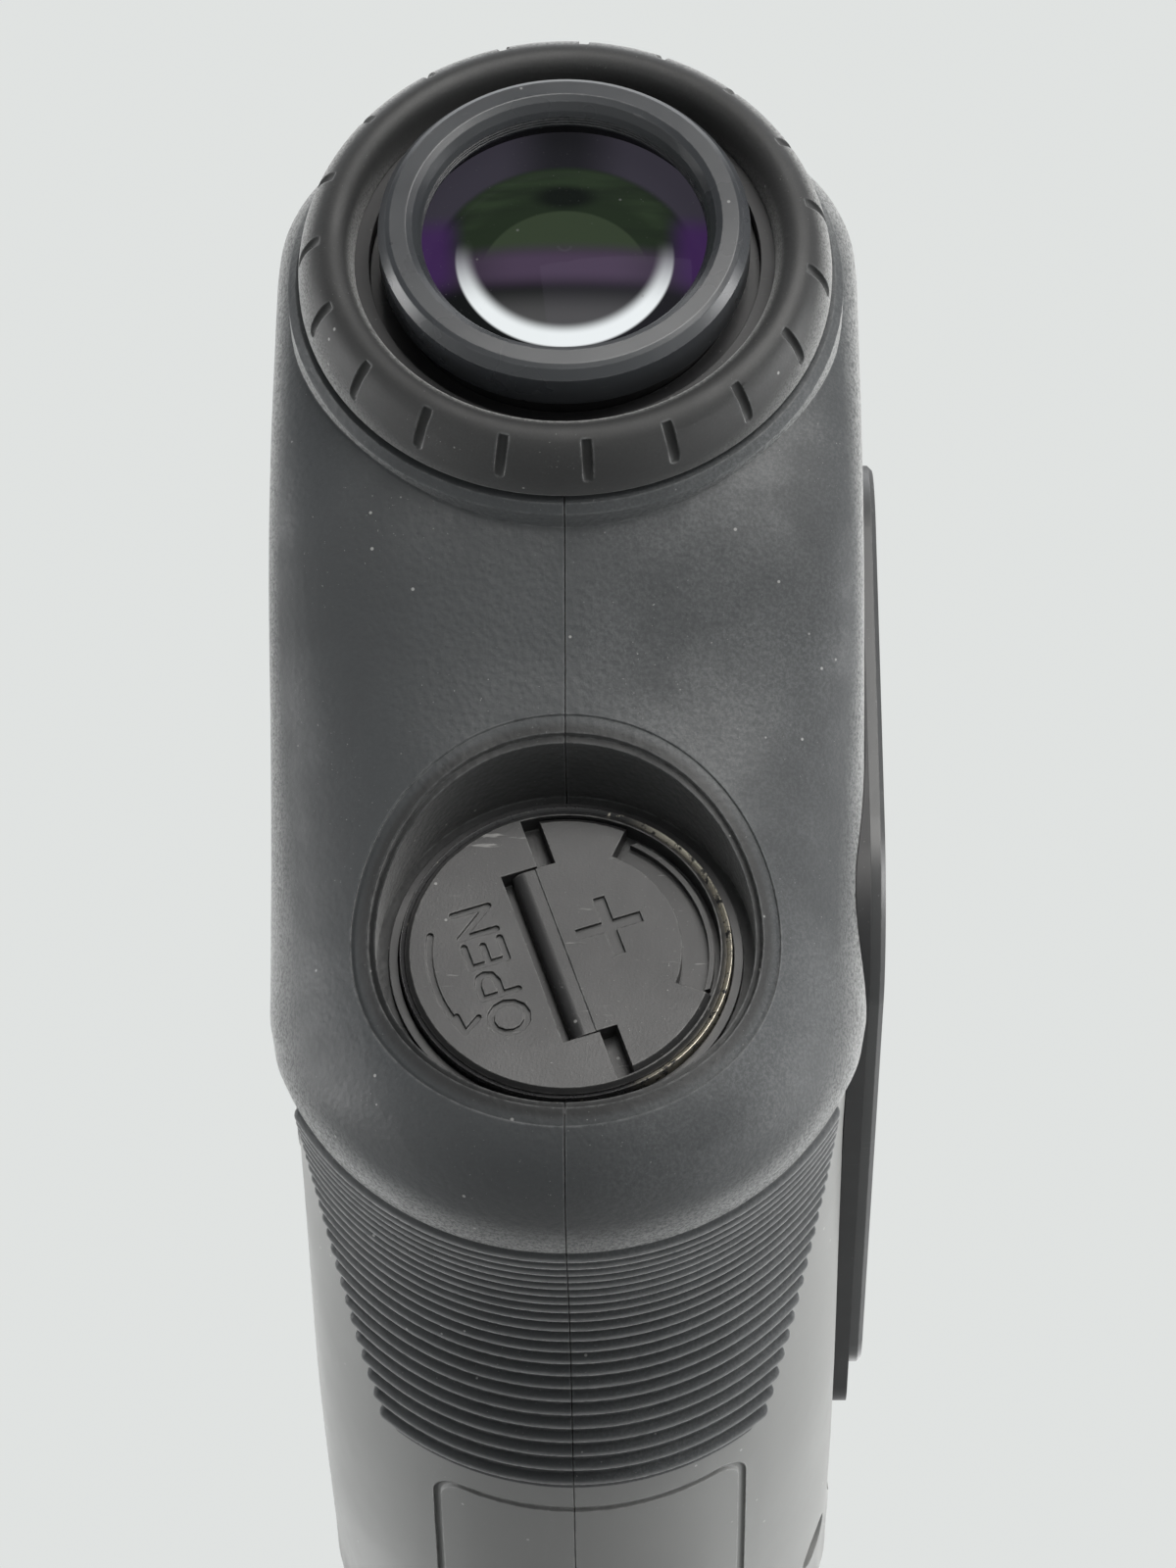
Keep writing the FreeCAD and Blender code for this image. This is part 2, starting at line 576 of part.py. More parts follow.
def eyepiece_barrel():
    barrel = turned([(CARRIAGE_R + 0.05, -100.1), (BARREL_R, -100.1), (BARREL_R, -92.4), (15.2, -92.4),
                     (15.2, -90.8), (BARREL_R, -90.8), (BARREL_R, -80.0), (CARRIAGE_R + 0.05, -80.0)])
    half = PIN_R + 0.05
    reach = LENS_TRAVEL + 0.03
    slot = block(-half, half, PIN_Y - reach, PIN_Y + reach, 8, 14)
    ends = [cyl_z(half, 8, 14, 0, PIN_Y + side * reach) for side in (-1, 1)]
    return barrel.cut([slot] + ends)


def lens_carriage():
    carriage = turned([(9.9, -103.2), (CARRIAGE_R, -103.2), (CARRIAGE_R, -83.0), (8.6, -83.0),
                       (8.6, -83.8), (9.9, -83.8)])
    return carriage.cut(cyl_z(PIN_R, 8, 12, 0, PIN_Y))


def cam_pin():
    return cyl_z(PIN_R, 10.0, 13.4, 0, PIN_Y)


def ocular_bezel():
    """Light ring round the eye lens: chamfered rear edge, stepped and grooved bore."""
    end = BEZEL_END
    seat = end + 2.08
    outside = [(CARRIAGE_R + 0.02, seat + 1.5), (11.35, seat + 1.5), (11.65, seat + 1.2),
               (11.65, end + 0.85),
               (11.2, end + 0.2), (10.9, end + 0.03), (9.9, end), (9.5, end + 0.25), (9.15, end + 0.8),
               (8.95, end + 1.2)]
    thread = []
    for k in range(3):
        y = end + 1.3 + 0.26 * k
        thread += [(8.95, y - 0.08), (9.1, y), (8.95, y + 0.08)]
    return turned(outside + thread + [(8.95, seat), (CARRIAGE_R + 0.02, seat)])


def lens(radius, y_rear, y_front, sag_rear, sag_front, z=0.0):
    """Round lens; a positive sag bulges outward on that side."""
    edge_rear, edge_front = y_rear + max(sag_rear, 0.0), y_front - max(sag_front, 0.0)
    rear = arc_points(radius, edge_rear, -sag_rear)
    front = arc_points(radius, edge_front, sag_front)
    top = Part.Arc(V(0, rear[0], z), V(rear[2], rear[1], z),
                   V(radius, edge_rear, z)).toShape() if sag_rear \
        else Part.makeLine(V(0, edge_rear, z), V(radius, edge_rear, z))
    low = Part.Arc(V(radius, edge_front, z), V(front[2], front[1], z),
                   V(0, front[0], z)).toShape() if sag_front \
        else Part.makeLine(V(radius, edge_front, z), V(0, edge_front, z))
    rim = Part.makeLine(V(radius, edge_rear, z), V(radius, edge_front, z))
    axis = Part.makeLine(V(0, front[0], z), V(0, rear[0], z))
    wire = Part.Wire(Part.__sortEdges__([top, rim, low, axis]))
    return Part.Face(wire).revolve(V(0, 0, z), V(0, 1, 0), 360)


def arc_points(radius, edge, bulge):
    """Apex, and a point half way out, of a shallow spherical face whose rim is at edge."""
    if not bulge:
        return edge, edge, radius / 2
    sphere = (radius ** 2 + bulge ** 2) / (2 * abs(bulge))
    half = radius / 2
    drop = sphere - math.sqrt(sphere ** 2 - half ** 2)
    sign = 1 if bulge > 0 else -1
    return edge + bulge, edge + bulge - sign * drop, half


# ---------------------------------------------------------------- battery bay and cap
def tilted(shape):
    """Turn a cap piece from its own upright layout to where it stops when it is screwed home."""
    turned_shape = shape.copy()
    turned_shape.rotate(V(0, 0, BATTERY_Z), V(0, 1, 0), -CAP_TILT)
    return turned_shape


def in_cap(x0, x1, depth0, depth1, z0, z1):
    """Box in the cap's upright layout; depth is measured inwards from its face."""
    return block(x0, x1, CAP_FACE + depth0, CAP_FACE + depth1, BATTERY_Z + z0, BATTERY_Z + z1)


def along_hinge(radius, half):
    start = V(HINGE_X, CAP_FACE + HINGE_DEPTH, BATTERY_Z - half)
    return Part.makeCylinder(radius, 2 * half, start, V(0, 0, 1))


def engraved(path, width=0.42, depth=0.22):
    """Round-ended cutters along a path of (x, z) points in the cap's upright layout."""
    cutters = []
    for x, z in path:
        cutters.append(cyl(width / 2, CAP_FACE - 1, CAP_FACE + depth, x, BATTERY_Z + z))
    for (x0, z0), (x1, z1) in zip(path, path[1:]):
        length = math.dist((x0, z0), (x1, z1))
        across_x, across_z = -(z1 - z0) / length * width / 2, (x1 - x0) / length * width / 2
        corners = [(x0 + across_x, z0 + across_z), (x1 + across_x, z1 + across_z),
                   (x1 - across_x, z1 - across_z), (x0 - across_x, z0 - across_z)]
        loop = [V(x, CAP_FACE - 1, BATTERY_Z + z) for x, z in corners]
        cutters.append(Part.Face(Part.makePolygon(loop + [loop[0]])).extrude(V(0, 1 + depth, 0)))
    return cutters


def cap_word():
    """Cutters for the word up the fixed half: each stroke is a path in units of the letter's size."""
    oval = [(0.5 + 0.5 * math.cos(math.radians(a)), 0.5 + 0.5 * math.sin(math.radians(a)))
            for a in range(0, 361, 30)]
    letters = [(2.1, [oval]),
               (1.6, [[(0, 0), (0, 1), (0.6, 1), (0.92, 0.9), (1, 0.74), (0.92, 0.56), (0.6, 0.46),
                       (0, 0.46)]]),
               (1.5, [[(1, 0), (0, 0), (0, 1), (1, 1)], [(0, 0.5), (0.85, 0.5)]]),
               (1.7, [[(0, 0), (0, 1), (1, 0), (1, 1)]])]
    cutters = []
    start = -WORD_LENGTH / 2
    gap = (WORD_LENGTH - sum(width for width, _ in letters)) / 3
    for width, strokes in letters:
        for stroke in strokes:
            cutters += engraved([(WORD_X - WORD_HEIGHT * v, start + width * u) for u, v in stroke])
        start += width + gap
    return cutters


def turn_arrow():
    """Cutters for the curved arrow beside the word."""
    arc = [(ARROW_R * math.cos(math.radians(a)), ARROW_R * math.sin(math.radians(a)))
           for a in range(155, 206, 5)]
    tip = arc[-1]
    barbs = [(tip[0] - 0.15, tip[1] + 1.25), tip, (tip[0] + 1.1, tip[1] + 0.75)]
    return engraved(arc) + engraved(barbs, 0.34)


def battery_cap():
    """Disc with a threaded boss; the right part of its face is sunk for the folding tab."""
    z = BATTERY_Z
    face = CAP_FACE
    disc = turned([(0, face), (CAP_R - 0.3, face), (CAP_R, face + 0.3), (CAP_R, CAP_UNDER),
                   (0, CAP_UNDER)], z=z)
    boss_ring = tube(BOSS_R, 7.2, CAP_UNDER - 0.1, BOSS_END, z=z)
    boss_ring = boss_ring.cut(cyl(7.95, BATTERY_REAR - 0.15, -79, z=z))
    threads = [turned([(9.0, y), (BOSS_R + 0.1, y - 0.28), (BOSS_R + 0.1, y + 0.28)], z=z)
               for y in (-82.4, -81.4)]
    seat_depth = TAB_THICK + TAB_GAP
    seat = joined([in_cap(EAR_X, 12, -1, seat_depth, -12, 12),
                   in_cap(SLOT_X, 12, -1, seat_depth, -KNUCKLE_HALF - 0.12, KNUCKLE_HALF + 0.12)])
    seat = seat.common(cyl(TAB_R + 0.1, face - 2, face + 3, z=z))
    ridge = tube(9.15, 8.8, face + 0.9, face + seat_depth + 0.1, z=z).common(in_cap(0, 12, 0, 3, -5.0, 6.2))
    knuckle_seat = along_hinge(KNUCKLE_R + 0.1, KNUCKLE_HALF + 0.12)
    form = disc.fuse(boss_ring).cut(threads + [seat, knuckle_seat]).fuse(ridge)
    return tilted(form.cut([along_hinge(HINGE_PIN_R, 7.4)] + cap_word() + turn_arrow()))


def cap_rim():
    """Metal ring pressed round the cap's disc."""
    face = CAP_FACE
    return turned([(CAP_R + 0.01, face + 0.42), (CAP_RIM_R - 0.06, face + 0.16), (CAP_RIM_R, face + 0.22),
                   (CAP_RIM_R, CAP_UNDER + 0.02), (CAP_R + 0.01, CAP_UNDER + 0.02)], z=BATTERY_Z)


def nail_notch():
    """Cutter for the crescent that a fingernail catches; it is also where the cap's ridge shows."""
    z = BATTERY_Z
    sector = [V(0, CAP_FACE - 1, z)]
    for k in range(7):
        angle = math.radians(NAIL_FROM + (NAIL_TO - NAIL_FROM) * k / 6)
        sector.append(V(16 * math.cos(angle), CAP_FACE - 1, z + 16 * math.sin(angle)))
    wedge = Part.Face(Part.makePolygon(sector + [sector[0]])).extrude(V(0, 4, 0))
    return wedge.cut(cyl(NAIL_R, CAP_FACE - 2, CAP_FACE + 4, z=z))


def cap_tab():
    """Folding part of the cap's face, with a raised plus sign in a groove and the fingernail notch."""
    z = BATTERY_Z
    face = CAP_FACE
    plate = turned([(0, face), (TAB_R - 0.35, face), (TAB_R, face + 0.35), (TAB_R, face + TAB_THICK),
                    (0, face + TAB_THICK)], z=z)
    keep = joined([in_cap(HINGE_X + 0.7, 12, -1, 3, -KNUCKLE_HALF, KNUCKLE_HALF),
                   in_cap(1.3, 12, -1, 3, -12, 12),
                   in_cap(HINGE_X, 1, HINGE_DEPTH - KNUCKLE_R, 3, -KNUCKLE_HALF, KNUCKLE_HALF)])
    form = plate.common(keep).fuse(along_hinge(KNUCKLE_R, KNUCKLE_HALF))
    arms = [in_cap(0.95, 5.15, -1, 0.25, 0.34, 1.08), in_cap(2.68, 3.42, -1, 0.25, -1.39, 2.81)]
    return tilted(form.cut([along_hinge(HINGE_PIN_R + 0.03, 9), nail_notch()] + arms))


def hinge_pin():
    return tilted(along_hinge(HINGE_PIN_R, 7.4))


def cap_oring():
    """Face seal squeezed between the cap's underside and the socket."""
    middle = (BOSS_R + CAP_RIM_R) / 2 + 0.1
    ring = Part.makeTorus(middle, SEAL / 2 - 0.02, V(0, CAP_UNDER + SEAL / 2, BATTERY_Z), V(0, 1, 0))
    return ring


def cap_spring():
    """Coil that presses on the battery's flat end."""
    rear, front = CAP_UNDER + 0.45, BATTERY_REAR - 0.02
    wire_r = 0.3
    helix = Part.makeHelix(0.85, front - rear - 2 * wire_r, 4.2)
    helix.rotate(V(0, 0, 0), V(1, 0, 0), -90)
    helix.translate(V(0, rear + wire_r, BATTERY_Z))
    start = helix.Edges[0].valueAt(helix.Edges[0].FirstParameter)
    tangent = helix.Edges[0].tangentAt(helix.Edges[0].FirstParameter)
    profile = Part.Wire(Part.Circle(start, tangent, wire_r).toShape())
    return Part.Wire(helix.Edges).makePipeShell([profile], True, True)


def battery():
    rear = BATTERY_REAR
    nose = rear + BATTERY_LENGTH
    outline = [(0, rear), (BATTERY_R - 0.5, rear), (BATTERY_R, rear + 0.5), (BATTERY_R, nose - 1.9),
               (BATTERY_R - 0.6, nose - 1.3),
               (3.0, nose - 1.3), (3.0, nose), (0, nose)]
    return turned(outline, z=BATTERY_Z)


def battery_socket():
    """Metal ring the cap screws into; its rear rim shows round the cap."""
    bore = CAP_RIM_R + 0.1
    return turned([(bore, -85.6), (SOCKET_R, -85.6), (SOCKET_R, -79.9), (BOSS_R + 0.06, -79.9),
                   (BOSS_R + 0.06, CAP_UNDER + SEAL), (bore, CAP_UNDER + SEAL)], z=BATTERY_Z)


def battery_tube():
    return turned([(BATTERY_R + 0.25, -79.85), (BOSS_R, -79.85), (BOSS_R, -52.6), (0, -52.6),
                   (0, -53.6), (BATTERY_R + 0.25, -53.6)], z=BATTERY_Z)


# ---------------------------------------------------------------- controls
def fire_button():
    top = TOP - BARE + FIRE_PROUD
    stem = fire_opening(0, 14.4, 25).common(body_solid(BARE - FIRE_PROUD))
    flange = fire_opening(1.0, 14.3, 15.2).common(body_solid(SHELL_IN + 0.03))
    grooves = [block(-3.4, 3.4, FIRE_Y + k - 0.35, FIRE_Y + k + 0.35, top - 2, top + 1)
               for k in range(-6, 7, 2)]
    floor = body_solid(BARE - FIRE_PROUD + 0.28)
    plunger = cyl_z(1.5, 13.3, 14.4, 0, FIRE_Y)
    return joined([stem, flange, plunger]).cut([groove.cut(floor) for groove in grooves])


def fire_frame():
    ring = fire_opening(1.1, 10, 30).cut(fire_opening(SLIDE_GAP, 9, 31))
    return ring.common(body_solid(BARE - 0.25)).cut(body_solid(SHELL_OUT + 0.17))


def mode_button():
    y, z = MODE_Y, MODE_Z
    outer = -(HALF_WIDTH - BARE + MODE_PROUD)
    cap = cyl_x(MODE_R, outer, -15.3, y, z)
    rim = [edge for edge in cap.Edges if edge.BoundBox.XMax < outer + 0.01]
    cap = cap.makeFillet(0.5, rim)
    dish = Part.makeSphere(14, V(outer - 13.55, y, z))
    return joined([cap, cyl_x(MODE_R + 0.9, -15.35, -14.6, y, z),
                   cyl_x(1.2, -14.65, -13.2, y, z)]).cut(dish)


def tact_switch_z(x, y, z):
    return joined([block(x - 3, x + 3, y - 3, y + 3, z, z + 1.6), cyl_z(1.6, z + 1.6, z + 2.3, x, y)])


# ---------------------------------------------------------------- optics and electronics
def prism_cage():
    cage = block(-9, 9, -62, -36, -9.6, 9.6).cut([block(-7.9, 7.9, -60.6, -37.4, -7.9, 11)])
    return cage.cut([cyl(6.5, -65, -30), cyl_z(2.8, -12, -5, 0, -44)])


def prisms():
    """Roof prism behind, wedge prism in front, with the air gap slanting between them."""
    half = 7.8
    front = slab_x([(-37.5, -half), (-37.5, half), (-46.5, half), (-40.5, -half)], -half, half)
    rear = slab_x([(-40.8, -half), (-46.8, half), (-60.4, half), (-54.5, -half)], -half, half)
    return front, rear


def laser_board():
    return block(-7, 7, -33.6, -32.6, -41, -27).cut([cyl(0.4, -35, -30, x, EMITTER_Z + dz) for x,
                                                     dz in ((-5.5, 5.5), (5.5, -5.5))])


def laser_diode():
    return joined([cyl(2.8, -32.58, -31.2, z=EMITTER_Z), cyl(1.9, -31.25, -28.6, z=EMITTER_Z)])


def chips():
    """Main board components: processor, timing chip, and a row of small parts."""
    top = -17.36
    parts = [block(-4, 4, -34, -26, top, top + 1.1), block(2, 7, -22, -17, top, top + 0.9)]
    parts += [block(-9.5, -8, y, y + 0.9, top, top + 0.8) for y in (-66, -62, -58, -54, -50, -24, -20)]
    parts += [cyl_z(1.9, top, top + 2.4, 8.2, y) for y in (-70, -64)]
    return Part.makeCompound(parts)


def motor_weight():
    y, z = -37.0, -45.5
    half = cyl_x(3.0, 5.2, 8.6, y, z).common(block(5, 9, y - 4, y + 4, z - 4, z + 0.6))
    return joined([half, cyl_x(1.1, 5.2, 8.6, y, z)]).cut(cyl_x(0.5, 5, 9, y, z))


def vibration_motor():
    y, z = -37.0, -45.5
    return joined([cyl_x(3.4, -6, 4.6, y, z), cyl_x(0.47, 4.5, 8.9, y, z)])


def motor_cradle():
    """Rubber sleeve that holds the motor to the floor of the shell."""
    y, z = -37.0, -45.5
    return block(-5, 3.5, y - 4.4, y + 4.4, z - 4.6, z + 1.5).cut(cyl_x(3.42, -8, 8, y, z))


def ribbon_cable():
    """Flat flexible cable from the main board up to the display."""
    return block(-4, 4, -76.2, -76.0, -16.9, -10.4).fuse(block(-4, 4, -76.2, -73.9, -17.1, -16.9))


# ---------------------------------------------------------------- the whole object
def pieces():
    made = {}
    made["left_armour"], made["right_armour"] = armour_halves()
    made["left_shell"], made["right_shell"] = shell_halves()
    made["housing_screws"] = housing_screws()
    made["front_bezel"] = front_bezel()
    made["side_plate"] = side_plate()
    made["magnet_tray"] = magnet_tray()
    made["side_magnets"] = side_magnets()

    made["dioptre_ring"] = dioptre_ring()
    made["dioptre_sleeve"] = dioptre_sleeve()
    made["eyepiece_barrel"] = eyepiece_barrel()
    made["lens_carriage"] = lens_carriage()
    made["cam_pin"] = cam_pin()
    made["ocular_bezel"] = ocular_bezel()
    made["eye_lens"] = lens(9.85, -102.6, -97.4, 1.2, 1.6)
    made["lens_spacer"] = tube(9.85, 8.6, -98.55, -95.4)
    made["field_lens"] = lens(9.85, -95.3, -89.0, 0.8, 1.9)
    made["field_lens_ring"] = tube(9.85, 8.6, -90.4, -89.0)

    made["battery_cap"] = battery_cap()
    made["cap_rim"] = cap_rim()
    made["cap_tab"] = cap_tab()
    made["tab_hinge_pin"] = hinge_pin()
    made["cap_contact"] = turned([(0, CAP_UNDER + 0.03), (7.1, CAP_UNDER + 0.03), (7.1, CAP_UNDER + 0.43),
                                  (0, CAP_UNDER + 0.43)], z=BATTERY_Z)
    made["cap_spring"] = cap_spring()
    made["cap_oring"] = cap_oring()
    made["battery_socket"] = battery_socket()
    made["battery_tube"] = battery_tube()
    made["battery"] = battery()
    made["front_contact"] = cyl(5.5, -53.95, -53.62, z=BATTERY_Z)

    made["fire_button"] = fire_button()
    made["fire_frame"] = fire_frame()
    made["fire_board"] = block(-6, 6, -62, -38, 9.62, 10.38)
    made["fire_switch"] = tact_switch_z(0, FIRE_Y, 10.4)
    made["mode_button"] = mode_button()
    made["mode_switch"] = joined([block(-11.7, -9.9, MODE_Y - 3, MODE_Y + 3, MODE_Z - 3, MODE_Z + 3),
                                  cyl_x(1.5, -12.4, -11.6, MODE_Y, MODE_Z)])
    made["side_board"] = block(-9.85, -9.0, MODE_Y - 6, MODE_Y + 6, MODE_Z - 8, MODE_Z + 9.5)

    made["objective_cell"] = turned([(OBJECTIVE_R - 0.9, -4.2), (13.1, -4.2), (13.1, -22.0), (9.0, -22.0),
                                     (9.0, -21.0), (12.05, -21.0),
                                     (12.05, -5.4), (OBJECTIVE_R - 0.9, -5.4)])
    made["objective_front_lens"] = lens(OBJECTIVE_R, -10.0, -5.45, -0.9, 1.1)
    made["objective_rear_lens"] = lens(OBJECTIVE_R, -13.2, -9.6, 0.0, 0.5)
    made["objective_ring"] = tube(12.0, 10.9, -15.0, -13.25)
    made["prism_cage"] = prism_cage()
    made["front_prism"], made["roof_prism"] = prisms()
    made["receiver_board"] = block(-7, 7, -52, -38, -13.6, -12.8)
    made["receiver_sensor"] = joined([cyl_z(2.6, -12.78, -10.4, 0, -44), cyl_z(1.9, -10.45, -9.7, 0, -44)])
    made["display_frame"] = block(-9, 9, -73.8, -70.6, -9.6, 9.6).cut([cyl(6.2, -80, -60), block(-7.6, 7.6,
                                                                                                 -73.0,
                                                                                                 -71.6,
                                                                                                 -8.2, 20)])
    made["display_panel"] = block(-7.5, 7.5, -72.9, -71.7, -8.1, 9.0)
    made["display_cable"] = ribbon_cable()

    made["emitter_lens"] = lens(EMITTER_R, -8.2, -5.0, 0.0, 0.7, z=EMITTER_Z)
    made["emitter_barrel"] = turned([(EMITTER_R - 0.8, -4.2), (7.9, -4.2), (7.9, -30.0), (7.0, -30.0),
                                     (7.0, -8.3),
                                     (7.05, -8.3), (7.05, -4.9), (EMITTER_R - 0.8, -4.9)], z=EMITTER_Z)
    made["laser_diode"] = laser_diode()
    made["laser_board"] = laser_board()
    made["main_board"] = block(-11, 11, -76, -14, -18.4, -17.4)
    made["board_parts"] = chips()
    made["vibration_motor"] = vibration_motor()
    made["motor_weight"] = motor_weight()
    made["motor_cradle"] = motor_cradle()
    return made


if __name__ == "__main__":
    os.makedirs("parts", exist_ok=True)
    for name, shape in pieces().items():
        shape.exportStep("parts/" + name + ".step")
        print(name, round(shape.Volume, 1), len(shape.Solids), shape.isValid())
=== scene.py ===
import json
import math

import bpy
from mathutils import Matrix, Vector

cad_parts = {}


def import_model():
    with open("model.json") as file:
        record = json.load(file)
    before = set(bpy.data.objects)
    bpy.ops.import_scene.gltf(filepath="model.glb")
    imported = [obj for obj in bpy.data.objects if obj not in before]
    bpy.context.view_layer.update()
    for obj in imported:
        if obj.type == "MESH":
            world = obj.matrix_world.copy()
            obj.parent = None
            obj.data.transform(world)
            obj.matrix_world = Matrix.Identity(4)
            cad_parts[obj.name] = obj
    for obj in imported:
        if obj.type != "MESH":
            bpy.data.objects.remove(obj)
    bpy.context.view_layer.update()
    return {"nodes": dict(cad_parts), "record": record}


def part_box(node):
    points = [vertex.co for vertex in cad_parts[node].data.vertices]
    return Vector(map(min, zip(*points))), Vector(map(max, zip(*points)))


MM = 0.001
RIB_FIRST, RIB_PITCH = -78.3, 1.52      # grip ribs along the body, in millimetres
BATTERY_Z = -41.5                       # axis of the battery bay
RECESS_R = 12.7                         # wall of the recess round the battery cap
EYE_LENS_R = 8.9
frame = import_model()
NODES = frame["nodes"]


# ---------------------------------------------------------------- node helpers

class Surface:
    """One procedural material. Lengths given to its textures are in millimetres."""

    def __init__(self, name):
        self.material = bpy.data.materials.new(name)
        self.material.use_nodes = True
        self.tree = self.material.node_tree
        self.shader = self.tree.nodes["Principled BSDF"]
        position = self.add("ShaderNodeTexCoord")
        scaled = self.add("ShaderNodeVectorMath", operation="SCALE")
        self.link(position.outputs["Object"], scaled.inputs[0])
        scaled.inputs["Scale"].default_value = 1000
        self.mm = scaled.outputs[0]

    def add(self, kind, **settings):
        node = self.tree.nodes.new(kind)
        for key, value in settings.items():
            setattr(node, key, value)
        return node

    def link(self, source, target):
        self.tree.links.new(source, target)

    def put(self, target, value):
        if isinstance(value, bpy.types.NodeSocket):
            self.link(value, target)
        elif isinstance(value, tuple) and len(value) == 3 and target.type == "RGBA":
            target.default_value = value + (1,)
        else:
            target.default_value = value

    def set(self, **values):
        """Principled inputs by name, with _ for a space."""
        for key, value in values.items():
            self.put(self.shader.inputs[key.replace("_", " ")], value)

    def calc(self, operation, a, b=0.0, c=0.0, clamp=False):
        node = self.add("ShaderNodeMath", operation=operation, use_clamp=clamp)
        for socket, value in zip(node.inputs, (a, b, c)):
            self.put(socket, value)
        return node.outputs[0]

    def stretch(self, x=1.0, y=1.0, z=1.0, turn=(0, 0, 0), shift=(0, 0, 0)):
        node = self.add("ShaderNodeMapping")
        self.link(self.mm, node.inputs["Vector"])
        node.inputs["Location"].default_value = shift
        node.inputs["Rotation"].default_value = [math.radians(a) for a in turn]
        node.inputs["Scale"].default_value = (x, y, z)
        return node.outputs[0]

    def noise(self, size, detail=3.0, rough=0.5, vector=None, warp=0.0):
        """Soft noise whose blobs are about size millimetres across."""
        node = self.add("ShaderNodeTexNoise")
        self.link(vector or self.mm, node.inputs["Vector"])
        node.inputs["Scale"].default_value = 1 / size
        node.inputs["Detail"].default_value = detail
        node.inputs["Roughness"].default_value = rough
        node.inputs["Distortion"].default_value = warp
        return node.outputs["Fac"]

    def cells(self, size, feature="F1", vector=None):
        node = self.add("ShaderNodeTexVoronoi", feature=feature)
        self.link(vector or self.mm, node.inputs["Vector"])
        node.inputs["Scale"].default_value = 1 / size
        return node.outputs["Distance"]

    def step(self, value, low, high, to_low=0.0, to_high=1.0):
        node = self.add("ShaderNodeMapRange", interpolation_type="SMOOTHSTEP")
        for socket, given in zip(node.inputs, (value, low, high, to_low, to_high)):
            self.put(socket, given)
        return node.outputs[0]

    def mix(self, share, a, b):
        node = self.add("ShaderNodeMix", data_type="RGBA")
        self.put(node.inputs[0], share)
        self.put(node.inputs[6], a)
        self.put(node.inputs[7], b)
        return node.outputs[2]

    def axis(self, name):
        node = self.add("ShaderNodeSeparateXYZ")
        self.link(self.mm, node.inputs[0])
        return node.outputs[name]

    def bump(self, height, depth, normal=None):
        """Relief of the given depth in millimetres."""
        node = self.add("ShaderNodeBump")
        node.inputs["Distance"].default_value = depth * MM
        self.link(height, node.inputs["Height"])
        if normal:
            self.link(normal, node.inputs["Normal"])
        return node.outputs[0]

    def rounded(self, radius):
        node = self.add("ShaderNodeBevel", samples=4)
        node.inputs["Radius"].default_value = radius * MM
        return node.outputs[0]

    def edges(self, radius, amount=1.0):
        """1 along sharp edges, broken up by noise."""
        sharp = self.add("ShaderNodeNewGeometry").outputs["Normal"]
        dot = self.add("ShaderNodeVectorMath", operation="DOT_PRODUCT")
        self.link(self.rounded(radius), dot.inputs[0])
        self.link(sharp, dot.inputs[1])
        bent = self.step(dot.outputs["Value"], 0.999, 0.93)
        broken = self.step(self.noise(0.9, 5, 0.7), 0.35, 0.62)
        return self.calc("MULTIPLY", self.calc("MULTIPLY", bent, broken), amount)

    def grazing(self, blend=0.35):
        node = self.add("ShaderNodeLayerWeight")
        node.inputs["Blend"].default_value = blend
        return node.outputs["Facing"]

    def dust(self, amount):
        """Fine specks and a few larger motes."""
        fine = self.step(self.noise(0.16, 2, 0.6), 0.70, 0.78)
        field = self.step(self.noise(7.0, 3, 0.6), 0.40, 0.62)
        motes = self.step(self.cells(2.3), 0.055, 0.035)
        spread = self.calc("MULTIPLY", fine, field)
        return self.calc("MULTIPLY", self.calc("MAXIMUM", spread, motes), amount, clamp=True)


